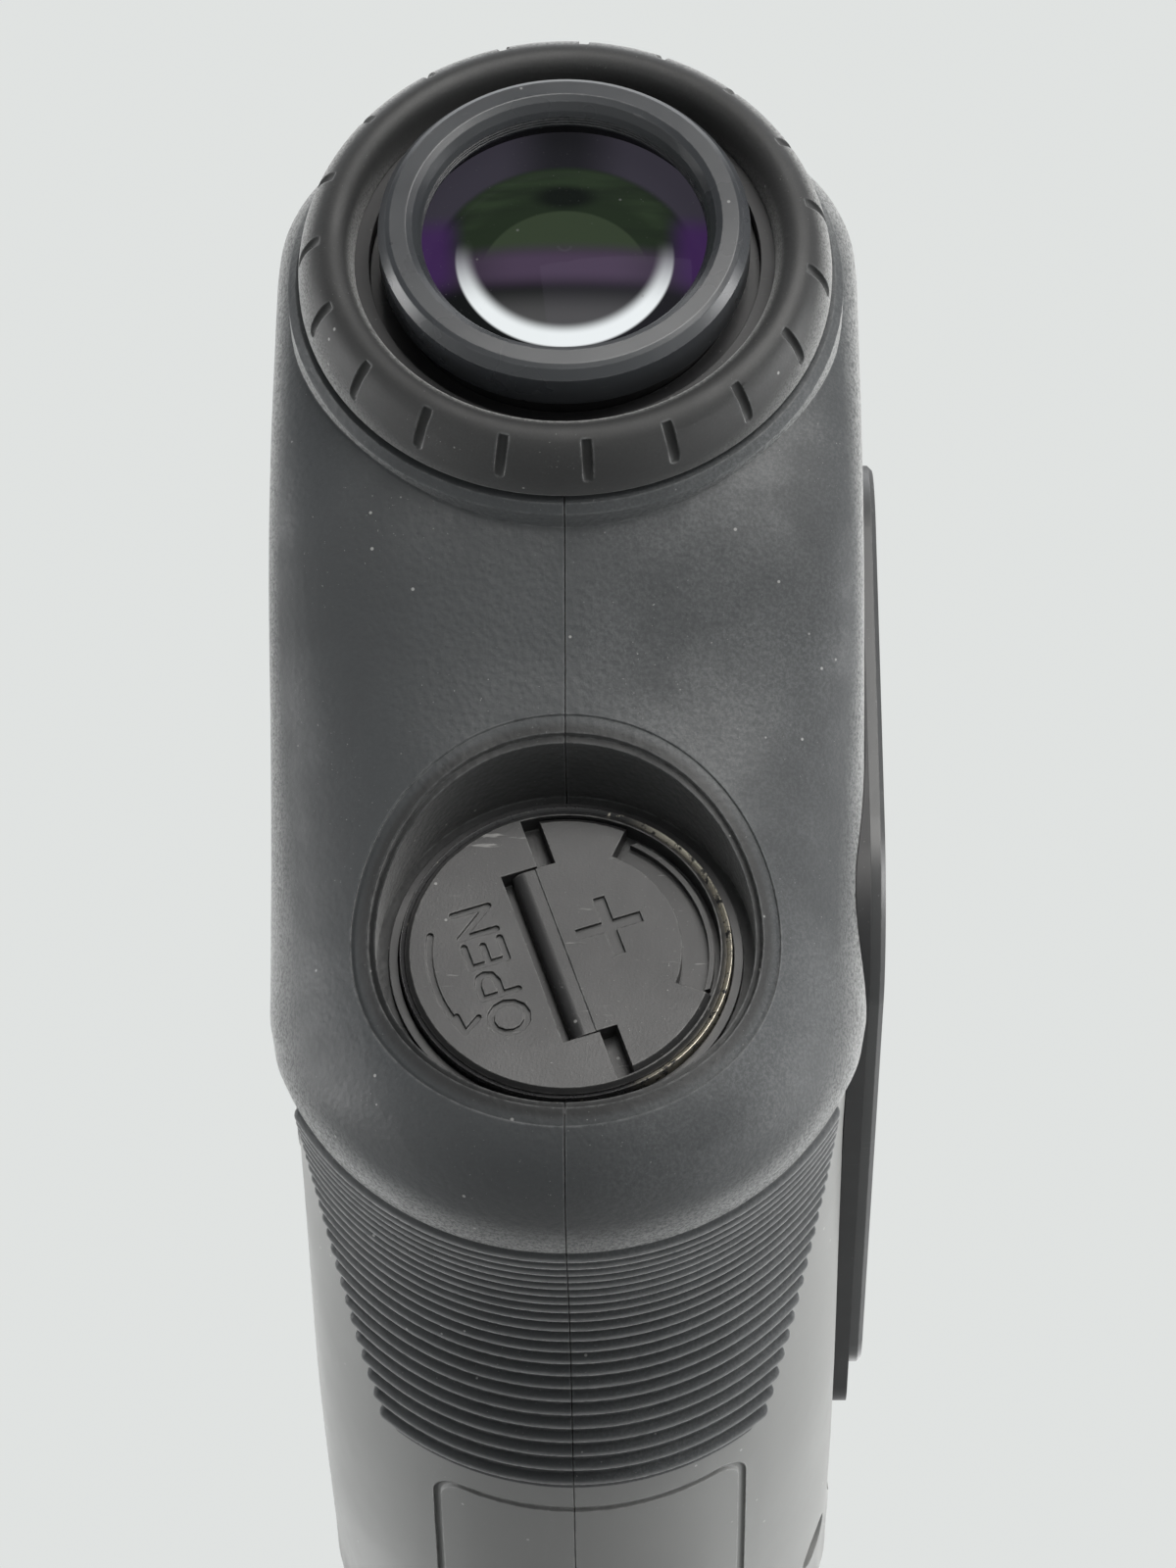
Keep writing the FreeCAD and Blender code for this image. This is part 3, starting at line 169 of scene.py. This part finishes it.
def rubber(name, base, painted_sheen, grain=0.42, depth=0.02, rough=(0.5, 0.66), body=False):
    """Moulded rubber: leathery cells, a painted sheen that is stronger on the right of the body, painted
    pale glints where it turns away from view, specks of dust; on the body also painted highlights on the rib
    tops and painted shade in the battery recess.
    """
    s = Surface(name)
    patches = s.noise(9.0, 4, 0.55, warp=0.3)
    cells = s.cells(grain, "SMOOTH_F1")
    fine = s.noise(grain * 0.5, 4, 0.7)
    height = s.calc("ADD", s.calc("MULTIPLY", cells, 0.9), s.calc("MULTIPLY", fine, 0.55))
    # Painted sheen: patches of lighter colour that stand in for a soft highlight.
    painted_sheen_mask = s.step(patches, 0.30, 0.75, 0.25, 0.75)
    if body:
        # Painted highlight: the sheen is made stronger on the right side of the body, where the light falls.
        right = s.step(s.axis("X"), -0.6, 4.0)
        painted_sheen_mask = s.calc("MULTIPLY", painted_sheen_mask, s.calc("MULTIPLY_ADD", right, 0.8, 0.2))
    colour = s.mix(s.step(patches, 0.3, 0.7), base, tuple(c * 1.12 for c in base))
    colour = s.mix(s.calc("MULTIPLY", painted_sheen_mask, s.step(fine, 0.42, 0.62, 0.2, 0.75)), colour, painted_sheen)
    # Painted glint: paler speckles where the surface turns away from view, standing in for grazing
    # reflection.
    painted_grazing_glint = s.calc("MULTIPLY", s.step(s.grazing(0.5), 0.42, 0.95), s.step(fine, 0.36, 0.60))
    colour = s.mix(s.calc("MULTIPLY", painted_grazing_glint, 0.8), colour, (0.36, 0.365, 0.36))
    if body:
        # Painted highlight along the rib tops.
        colour = s.mix(painted_rib_highlights(s), colour, (0.11, 0.113, 0.116))
        # Painted shade: the wall of the battery recess is darkened almost to black.
        colour = s.mix(s.calc("MULTIPLY", recess(s), 0.8), colour, (0.004, 0.004, 0.004))
    colour = s.mix(s.edges(0.22, 0.35), colour, (0.16, 0.165, 0.168))
    colour = s.mix(s.dust(0.5), colour, (0.36, 0.36, 0.35))
    s.set(Base_Color=colour, Roughness=s.step(patches, 0.35, 0.62, rough[1], rough[0]))
    s.set(Specular_IOR_Level=0.42, Sheen_Weight=0.18, Sheen_Roughness=0.45)
    s.set(Normal=s.bump(height, depth, s.rounded(0.12)))
    return s.material


def recess(s):
    """1 on the wall of the battery recess, where shade is painted in."""
    up = s.calc("SUBTRACT", s.axis("Z"), BATTERY_Z)
    across = s.calc("MULTIPLY", s.axis("X"), s.axis("X"))
    square = s.calc("ADD", across, s.calc("MULTIPLY", up, up))
    return s.step(s.calc("SQRT", square), RECESS_R + 0.3, RECESS_R - 0.3)


def painted_rib_highlights(s):
    """Share of painted highlight, a paler line along the top of each grip rib."""
    phase = s.calc("DIVIDE", s.calc("SUBTRACT", s.axis("Y"), RIB_FIRST), RIB_PITCH)
    off = s.calc("ABSOLUTE", s.calc("SUBTRACT", phase, s.calc("ROUND", phase)))
    line = s.step(off, 0.22, 0.04)
    under = s.calc("MULTIPLY", s.step(s.axis("Z"), -45.0, -52.0), s.step(s.axis("Y"), -79.5, -78.6))
    broken = s.step(s.noise(2.0, 4, 0.7), 0.3, 0.6, 0.35, 0.9)
    return s.calc("MULTIPLY", s.calc("MULTIPLY", line, under), broken)


def housing_plastic():
    """Smooth pale plastic with a painted reflection that makes it lightest where it is seen at a low angle,
    and a faint greasy haze.
    """
    s = Surface("shell_plastic")
    cloud = s.noise(14.0, 4, 0.55, warp=0.3)
    streaks = s.noise(2.2, 4, 0.6, vector=s.stretch(1.0, 0.25, 1.0))
    fine = s.noise(0.22, 3, 0.6)
    # Painted reflection: lighter where the surface is seen at a grazing angle.
    side = s.step(s.grazing(0.5), 0.25, 0.90)
    colour = s.mix(side, (0.20, 0.202, 0.20), (0.25, 0.253, 0.248))
    colour = s.mix(s.step(cloud, 0.35, 0.75, 0, 0.12), colour, (0.30, 0.30, 0.295))
    colour = s.mix(s.step(streaks, 0.6, 0.8, 0, 0.10), colour, (0.34, 0.34, 0.335))
    colour = s.mix(s.edges(0.2, 0.4), colour, (0.5, 0.5, 0.49))
    colour = s.mix(s.dust(0.4), colour, (0.6, 0.6, 0.59))
    s.set(Base_Color=colour, Roughness=s.step(cloud, 0.35, 0.65, 0.5, 0.6), Specular_IOR_Level=0.2)
    s.set(Normal=s.bump(fine, 0.005, s.rounded(0.12)))
    return s.material


def plastic(name, base, worn, rough=0.42, grain=0.09, depth=0.004, scratches=0.25, wear=0.4, dust=0.35):
    """Moulded or anodised surface: faint texture, hairline scratches, rubbed edges."""
    s = Surface(name)
    cloud = s.noise(11.0, 4, 0.6)
    fine = s.noise(grain, 3, 0.6)
    lines = s.noise(0.22, 3, 0.6, vector=s.stretch(0.05, 1.0, 0.35, turn=(17, 35, 28)))
    scored = s.calc("MULTIPLY", s.step(lines, 0.66, 0.72), s.step(cloud, 0.4, 0.6))
    colour = s.mix(s.step(cloud, 0.3, 0.7), base, tuple(min(1, c * 1.16) for c in base))
    colour = s.mix(s.calc("MULTIPLY", scored, scratches), colour, worn)
    colour = s.mix(s.edges(0.16, wear), colour, worn)
    colour = s.mix(s.dust(dust), colour, (0.42, 0.42, 0.41))
    s.set(Base_Color=colour, Roughness=s.step(cloud, 0.3, 0.7, rough - 0.06, rough + 0.08))
    height = s.calc("SUBTRACT", fine, s.calc("MULTIPLY", scored, 0.6))
    s.set(Normal=s.bump(height, depth, s.rounded(0.10)))
    return s.material


def metal(name, base, rough=0.28, turned=0.0, wear=0.3, tarnish=(0.2, 0.19, 0.17)):
    """Bare or plated metal with turning marks, tarnish and bright edges."""
    s = Surface(name)
    cloud = s.noise(3.2, 5, 0.65)
    marks = s.noise(0.12, 3, 0.6, vector=s.stretch(1.0, 1.0 + turned * 8, 1.0))
    colour = s.mix(s.step(cloud, 0.52, 0.72), base, tarnish)
    colour = s.mix(s.edges(0.12, wear), colour, tuple(min(1, c * 1.3) for c in base))
    s.set(Base_Color=colour, Metallic=1.0, Roughness=s.step(cloud, 0.3, 0.7, rough, rough + 0.2))
    s.set(Normal=s.bump(marks, 0.006, s.rounded(0.08)))
    return s.material


def rim_metal():
    """Blackened ring worn through to bright metal on its right side."""
    s = Surface("rim_metal")
    chips = s.noise(0.7, 5, 0.7)
    right = s.step(s.axis("X"), 3.5, 8.0)
    bare = s.calc("MULTIPLY", right, s.step(chips, 0.40, 0.50))
    bare = s.calc("MAXIMUM", bare, s.step(chips, 0.66, 0.70))
    s.set(Base_Color=s.mix(bare, (0.016, 0.016, 0.017), (0.62, 0.58, 0.48)))
    s.set(Metallic=s.calc("MULTIPLY", bare, 0.95))
    s.set(Roughness=s.step(chips, 0.3, 0.7, 0.22, 0.4), Normal=s.bump(chips, 0.01, s.rounded(0.08)))
    return s.material


def glass(name, tint, reflection, smear=0.05):
    """Polished glass: clear, with a faint coloured reflection and smears."""
    s = Surface(name)
    smears = s.step(s.noise(2.4, 4, 0.6, vector=s.stretch(1, 1, 0.4, turn=(0, 30, 0))), 0.45, 0.75)
    s.set(Base_Color=tint, Transmission_Weight=1.0, IOR=1.5)
    s.set(Specular_IOR_Level=0.22, Specular_Tint=reflection)
    s.set(Roughness=s.calc("MULTIPLY", smears, smear), Normal=s.bump(s.noise(5.0, 2, 0.5), 0.002))
    return s.material


def eyepiece_glass():
    """The eye lens, with painted coloured reflections of the coated lenses behind it and a painted bright
    window reflection, emitted as a glow.
    """
    s = Surface("eyepiece_glass")
    u = s.calc("DIVIDE", s.axis("X"), EYE_LENS_R)
    v = s.calc("DIVIDE", s.axis("Z"), EYE_LENS_R)
    aside = s.calc("ABSOLUTE", u)

    def disc(height, radius, soft, squash=1.0, rise=1.0):
        """1 inside a disc centred at the given height above the middle."""
        across = s.calc("MULTIPLY", u, squash)
        up = s.calc("MULTIPLY", s.calc("SUBTRACT", v, height), rise)
        square = s.calc("ADD", s.calc("MULTIPLY", across, across), s.calc("MULTIPLY", up, up))
        return s.step(s.calc("SQRT", square), radius + soft, radius - soft)

    def band(low, high, soft):
        return times(s.step(v, low - soft, low + soft), s.step(v, high + soft, high - soft))

    def times(*shares):
        product = shares[0]
        for share in shares[1:]:
            product = s.calc("MULTIPLY", product, share)
        return product

    def without(share):
        return s.calc("SUBTRACT", 1, share)

    behind = disc(-0.25, 0.97, 0.035)
    deep = disc(-0.35, 0.84, 0.06)
    inner = disc(-0.30, 0.61, 0.012)
    outer = disc(-0.05, 0.77, 0.012)
    layered = s.noise(1.3, 3, 0.5, vector=s.stretch(0.12, 1, 1))
    haze = times(without(behind), s.step(aside, 0.05, 0.5, 0.25, 1.0))
    across = s.step(aside, 1.0, 0.55)
    painted_green_reflection = times(behind, band(-0.05, 0.9, 0.12), across, s.step(layered, 0.3, 0.7, 0.45, 1.0))
    middle = times(band(-0.30, -0.03, 0.09), s.step(aside, 0.95, 0.3, 0.3, 1.0))
    painted_violet_reflection = times(s.step(aside, 0.68, 0.90), band(-0.30, 0.26, 0.12), 0.9)
    low = times(outer, s.step(v, -0.30, -0.60))
    painted_window_reflection = times(outer, without(disc(0.0, 0.68, 0.05)), s.step(v, 0.10, -0.50))

    # Painted reflections: the colours mixed below, except the dust, stand in for light reflected off the
    # coated lenses and a bright window.
    colour = s.mix(haze, (0.004, 0.005, 0.004), (0.034, 0.031, 0.042))
    colour = s.mix(painted_green_reflection, colour, (0.022, 0.036, 0.017))
    colour = s.mix(times(deep, painted_green_reflection, 0.6), colour, (0.008, 0.014, 0.006))
    colour = s.mix(times(disc(0.44, 0.16, 0.07, 0.8, 1.6), 0.8), colour, (0.002, 0.003, 0.002))
    colour = s.mix(times(inner, band(-0.05, 0.5, 0.1), 0.8), colour, (0.036, 0.052, 0.028))
    colour = s.mix(middle, colour, (0.062, 0.042, 0.074))
    colour = s.mix(painted_violet_reflection, colour, (0.042, 0.016, 0.075))
    colour = s.mix(times(low, 0.85), colour, (0.080, 0.080, 0.080))
    colour = s.mix(painted_window_reflection, colour, (0.82, 0.86, 0.87))
    colour = s.mix(s.dust(0.35), colour, (0.2, 0.2, 0.2))
    s.set(Base_Color=(0.003, 0.003, 0.004), Roughness=0.03, IOR=1.5, Specular_IOR_Level=0.015)
    # The painted reflections are emitted, so the lens glows though it is no lamp.
    s.set(Specular_Tint=(0.75, 0.65, 1.0), Emission_Color=colour, Emission_Strength=1.0)
    s.set(Normal=s.bump(s.noise(6.0, 2, 0.5), 0.002))
    return s.material


def circuit(name, base, trace, pad):
    """Solder mask over copper tracks, with vias."""
    s = Surface(name)
    grid = s.calc("ABSOLUTE", s.calc("SINE", s.calc("MULTIPLY", s.axis("Y"), 5.2)))
    paths = s.calc("MULTIPLY", s.step(grid, 0.86, 0.93), s.step(s.noise(4.0, 2), 0.46, 0.5))
    vias = s.step(s.cells(1.7), 0.16, 0.12)
    colour = s.mix(paths, s.mix(s.step(s.noise(6, 3), 0.3, 0.7), base, tuple(c * 1.3 for c in base)), trace)
    colour = s.mix(vias, colour, pad)
    s.set(Base_Color=colour, Roughness=s.step(vias, 0, 1, 0.35, 0.2))
    s.set(Metallic=s.calc("MULTIPLY", vias, 0.8))
    s.set(Normal=s.bump(s.calc("ADD", paths, s.noise(0.1, 2)), 0.03, s.rounded(0.08)))
    return s.material


def wrapped(name):
    """Battery sleeve: two bands of colour with a metallic gleam and fine creases."""
    s = Surface(name)
    band = s.step(s.axis("Y"), -72.4, -72.0)
    creases = s.noise(1.2, 4, 0.6, vector=s.stretch(1, 0.25, 1))
    colour = s.mix(band, (0.30, 0.19, 0.05), (0.015, 0.017, 0.022))
    colour = s.mix(s.step(s.noise(0.5, 4, 0.7), 0.62, 0.7, 0, 0.3), colour, (0.3, 0.3, 0.3))
    s.set(Base_Color=colour, Roughness=0.32, Metallic=s.calc("MULTIPLY", s.calc("SUBTRACT", 1, band), 0.7))
    s.set(Coat_Weight=0.4, Normal=s.bump(creases, 0.03, s.rounded(0.1)))
    return s.material


def rubbers():
    return [
        rubber("armour_rubber", (0.021, 0.0235, 0.0255), (0.085, 0.089, 0.092), depth=0.034, body=True),
        rubber("ring_rubber", (0.0085, 0.0088, 0.009), (0.024, 0.0245, 0.025), 0.3, 0.006, (0.5, 0.6)),
        rubber("button_rubber", (0.018, 0.019, 0.020), (0.05, 0.05, 0.05), 0.3, 0.008),
        rubber("seal_rubber", (0.010, 0.010, 0.010), (0.03, 0.03, 0.03), 0.25, 0.004),
    ]


def plastics():
    return [
        housing_plastic(),
        plastic("inner_plastic", (0.012, 0.012, 0.013), (0.06, 0.06, 0.06), 0.5),
        plastic("trim_plastic", (0.032, 0.033, 0.035), (0.12, 0.12, 0.12), 0.4),
        plastic("plate_plastic", (0.040, 0.041, 0.042), (0.14, 0.14, 0.14), 0.36, 0.12, 0.004, 0.5),
        plastic("cap_plastic", (0.016, 0.016, 0.0165), (0.18, 0.18, 0.175), 0.40, 0.16, 0.010, 0.8, 0.5),
        plastic("bezel_plastic", (0.026, 0.028, 0.031), (0.16, 0.16, 0.165), 0.30, 0.10, 0.003, 0.3, 0.45),
        plastic("switch_plastic", (0.02, 0.02, 0.02), (0.1, 0.1, 0.1), 0.4),
        plastic("flex_film", (0.35, 0.16, 0.04), (0.5, 0.3, 0.12), 0.3, 0.3, 0.01),
        plastic("black_aluminium", (0.010, 0.010, 0.011), (0.09, 0.09, 0.09), 0.38, 0.08, 0.003, 0.2),
    ]


def metals():
    return [
        rim_metal(),
        metal("steel", (0.56, 0.56, 0.55), 0.26, 0.4),
        metal("magnet_metal", (0.60, 0.60, 0.62), 0.18),
        metal("contact_metal", (0.78, 0.58, 0.26), 0.24, 0.2, 0.3, (0.35, 0.22, 0.1)),
    ]


def others():
    return [
        glass("coated_glass", (0.90, 0.88, 0.95), (0.45, 0.25, 0.8)),
        glass("clear_glass", (0.90, 0.96, 0.95), (1.0, 1.0, 1.0)),
        circuit("board", (0.008, 0.055, 0.022), (0.02, 0.12, 0.05), (0.7, 0.55, 0.25)),
        wrapped("battery_wrap"),
    ]


def dress():
    """Gives each CAD node the finish of its slot in the record."""
    # Blender adds a numbered ending to a name that the frame's own materials use already.
    made = {finish.name.split(".")[0]: finish for finish in rubbers() + plastics() + metals() + others()}
    for part in frame["record"]["subparts"]:
        mesh = NODES[part["node"]].data
        mesh.materials.clear()
        mesh.materials.append(made[part["material_slot"]])
    NODES["eye_lens"].data.materials[0] = eyepiece_glass()


# ---------------------------------------------------------------- stage

def area_light(name, where, target, size, power, colour=(1, 1, 1)):
    data = bpy.data.lights.new(name, "AREA")
    data.shape = "RECTANGLE"
    data.size, data.size_y = size
    data.energy = power
    data.color = colour
    lamp = bpy.data.objects.new(name, data)
    lamp.location = where
    lamp.rotation_euler = (Vector(target) - Vector(where)).to_track_quat("-Z", "Y").to_euler()
    bpy.context.scene.collection.objects.link(lamp)
    return lamp


def world():
    """Pale backdrop for the camera; a soft gradient for light and reflections."""
    scene = bpy.context.scene
    made = bpy.data.worlds.new("studio")
    scene.world = made
    made.use_nodes = True
    tree = made.node_tree
    tree.nodes.clear()
    new = tree.nodes.new
    out = new("ShaderNodeOutputWorld")
    blend = new("ShaderNodeMixShader")
    rays = new("ShaderNodeLightPath")
    shown = new("ShaderNodeBackground")
    lit = new("ShaderNodeBackground")
    shown.inputs["Color"].default_value = (0.745, 0.765, 0.755, 1)
    ramp = new("ShaderNodeValToRGB")
    split = new("ShaderNodeSeparateXYZ")
    where = new("ShaderNodeTexCoord")
    spread = new("ShaderNodeMapRange")
    tree.links.new(where.outputs["Generated"], split.inputs[0])
    tree.links.new(split.outputs["Y"], spread.inputs[0])
    spread.inputs[1].default_value = -1
    tree.links.new(spread.outputs[0], ramp.inputs[0])
    stops = ramp.color_ramp.elements
    stops[0].position, stops[0].color = 0.0, (0.22, 0.222, 0.225, 1)
    stops[1].position, stops[1].color = 1.0, (0.70, 0.71, 0.70, 1)
    middle = stops.new(0.42)
    middle.color = (0.05, 0.051, 0.053, 1)
    tree.links.new(ramp.outputs[0], lit.inputs["Color"])
    tree.links.new(rays.outputs["Is Camera Ray"], blend.inputs[0])
    tree.links.new(lit.outputs[0], blend.inputs[1])
    tree.links.new(shown.outputs[0], blend.inputs[2])
    tree.links.new(blend.outputs[0], out.inputs["Surface"])


def lights():
    middle = (0, -0.05, -0.02)
    area_light("key", (0.20, -0.60, 0.14), middle, (0.50, 0.40), 4.7, (1.0, 0.985, 0.96))
    area_light("sky", (0.0, -0.10, 0.62), middle, (0.7, 0.5), 2.4, (0.96, 0.98, 1.0))
    area_light("right", (0.55, -0.06, -0.10), middle, (0.30, 0.45), 3.0)
    area_light("left", (-0.55, -0.02, -0.08), middle, (0.30, 0.45), 3.2)
    area_light("front", (0.0, 0.55, 0.12), middle, (0.60, 0.40), 1.4)
    area_light("bounce", (0.0, 0.30, -0.46), middle, (0.60, 0.30), 1.25)


def floor():
    """Pale tabletop under the part; from below neither the camera nor the lights are stopped by it."""
    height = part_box("left_shell")[0].z - 0.0012
    bpy.ops.mesh.primitive_circle_add(vertices=96, radius=1.6, fill_type="NGON", location=(0, -0.05, height))
    table = bpy.context.object
    table.name = "floor"
    table.visible_shadow = False
    s = Surface("floor")
    grain = s.noise(3.0, 4, 0.6)
    s.set(Base_Color=s.mix(grain, (0.44, 0.45, 0.445), (0.48, 0.49, 0.485)), Roughness=0.6)
    s.set(Normal=s.bump(grain, 0.02))
    clear = s.add("ShaderNodeBsdfTransparent")
    side = s.add("ShaderNodeNewGeometry")
    choose = s.add("ShaderNodeMixShader")
    s.link(side.outputs["Backfacing"], choose.inputs[0])
    s.link(s.shader.outputs[0], choose.inputs[1])
    s.link(clear.outputs[0], choose.inputs[2])
    s.link(choose.outputs[0], s.tree.nodes["Material Output"].inputs["Surface"])
    table.data.materials.append(s.material)


def camera():
    data = bpy.data.cameras.new("camera")
    data.lens = 126.0
    data.sensor_width = 36.0
    data.clip_start, data.clip_end = 0.01, 20
    eye = bpy.data.objects.new("camera", data)
    eye.location = (0.00490921, -0.38114468, -0.20513930)
    eye.rotation_euler = [math.radians(a) for a in (120.764877, -0.102272, 0.632329)]
    bpy.context.scene.collection.objects.link(eye)
    bpy.context.scene.camera = eye


scene = bpy.context.scene
scene.view_settings.view_transform = "Standard"
dress()
world()
lights()
floor()
camera()
